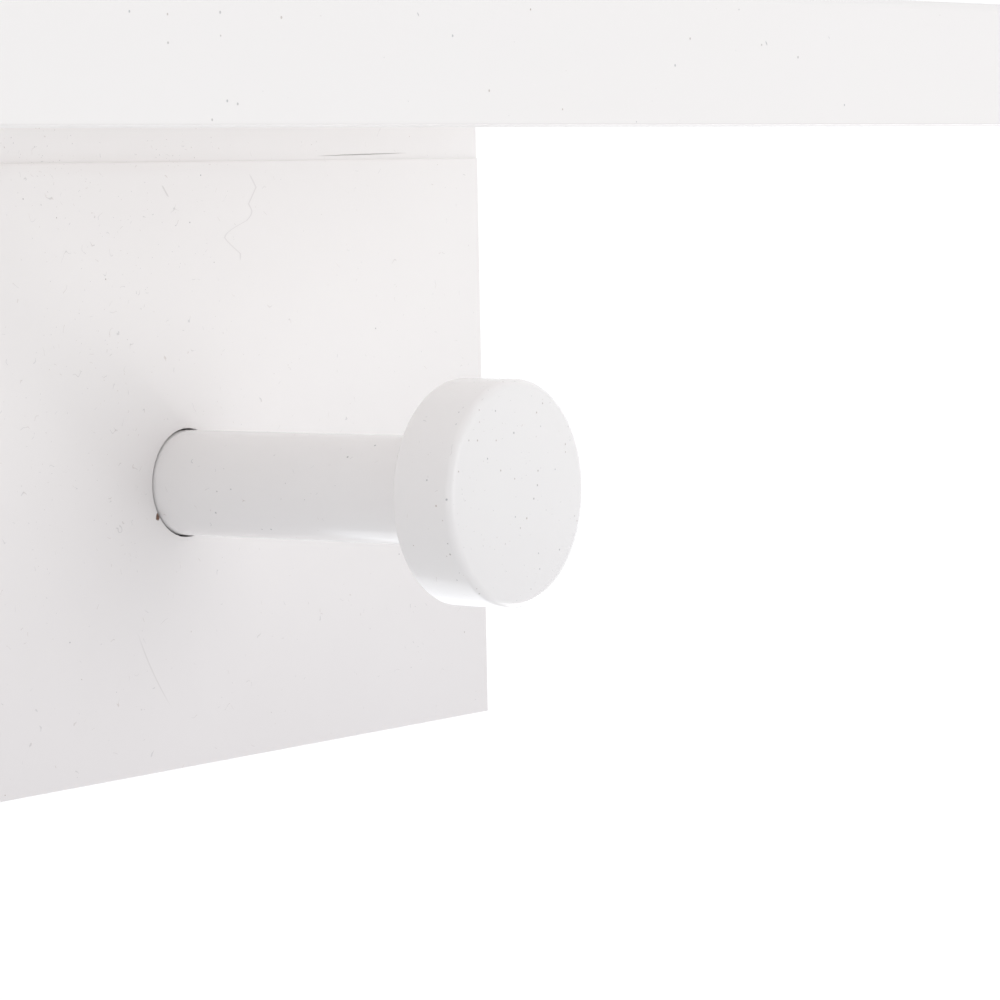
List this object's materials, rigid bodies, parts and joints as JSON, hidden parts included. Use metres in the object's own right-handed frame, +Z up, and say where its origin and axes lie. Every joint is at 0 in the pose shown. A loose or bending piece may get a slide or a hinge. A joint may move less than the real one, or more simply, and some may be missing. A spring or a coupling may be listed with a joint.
{
  "type": "wall hook rack",
  "caption": "Long white wall rack: a board with a row of round-headed pegs on thin shanks, under a shallow shelf with a narrow front band.",
  "frame": {"origin": "on the wall plane, midway along the rack, on the level line through the two hangers' entry holes", "axes": "+X along the wall towards the rack's right end as seen from the room, +Y into the wall, +Z up"},
  "size_m": [0.8, 0.13, 0.1125],
  "materials": {
    "board_lacquer": "satin white lacquer on fibreboard, very fine texture",
    "peg_lacquer": "satin white lacquer on turned wood, faint turning marks",
    "dowel_beech": "bare beech",
    "zinc_steel": "bright zinc plate"
  },
  "bodies": {
    "root": {"hook_board": "board_lacquer", "back_rail": "board_lacquer", "shelf_panel": "board_lacquer", "front_band": "board_lacquer", "peg_shank_1": "peg_lacquer", "peg_shank_2": "peg_lacquer", "peg_shank_3": "peg_lacquer", "peg_shank_4": "peg_lacquer", "peg_shank_5": "peg_lacquer", "peg_head_1": "peg_lacquer", "peg_head_2": "peg_lacquer", "peg_head_3": "peg_lacquer", "peg_head_4": "peg_lacquer", "peg_head_5": "peg_lacquer", "board_dowels": "dowel_beech", "band_dowels": "dowel_beech", "peg_screws": "zinc_steel", "shelf_screws": "zinc_steel", "hanger_plate_left": "zinc_steel", "hanger_plate_right": "zinc_steel", "hanger_screws": "zinc_steel"}
  },
  "joints": []
}
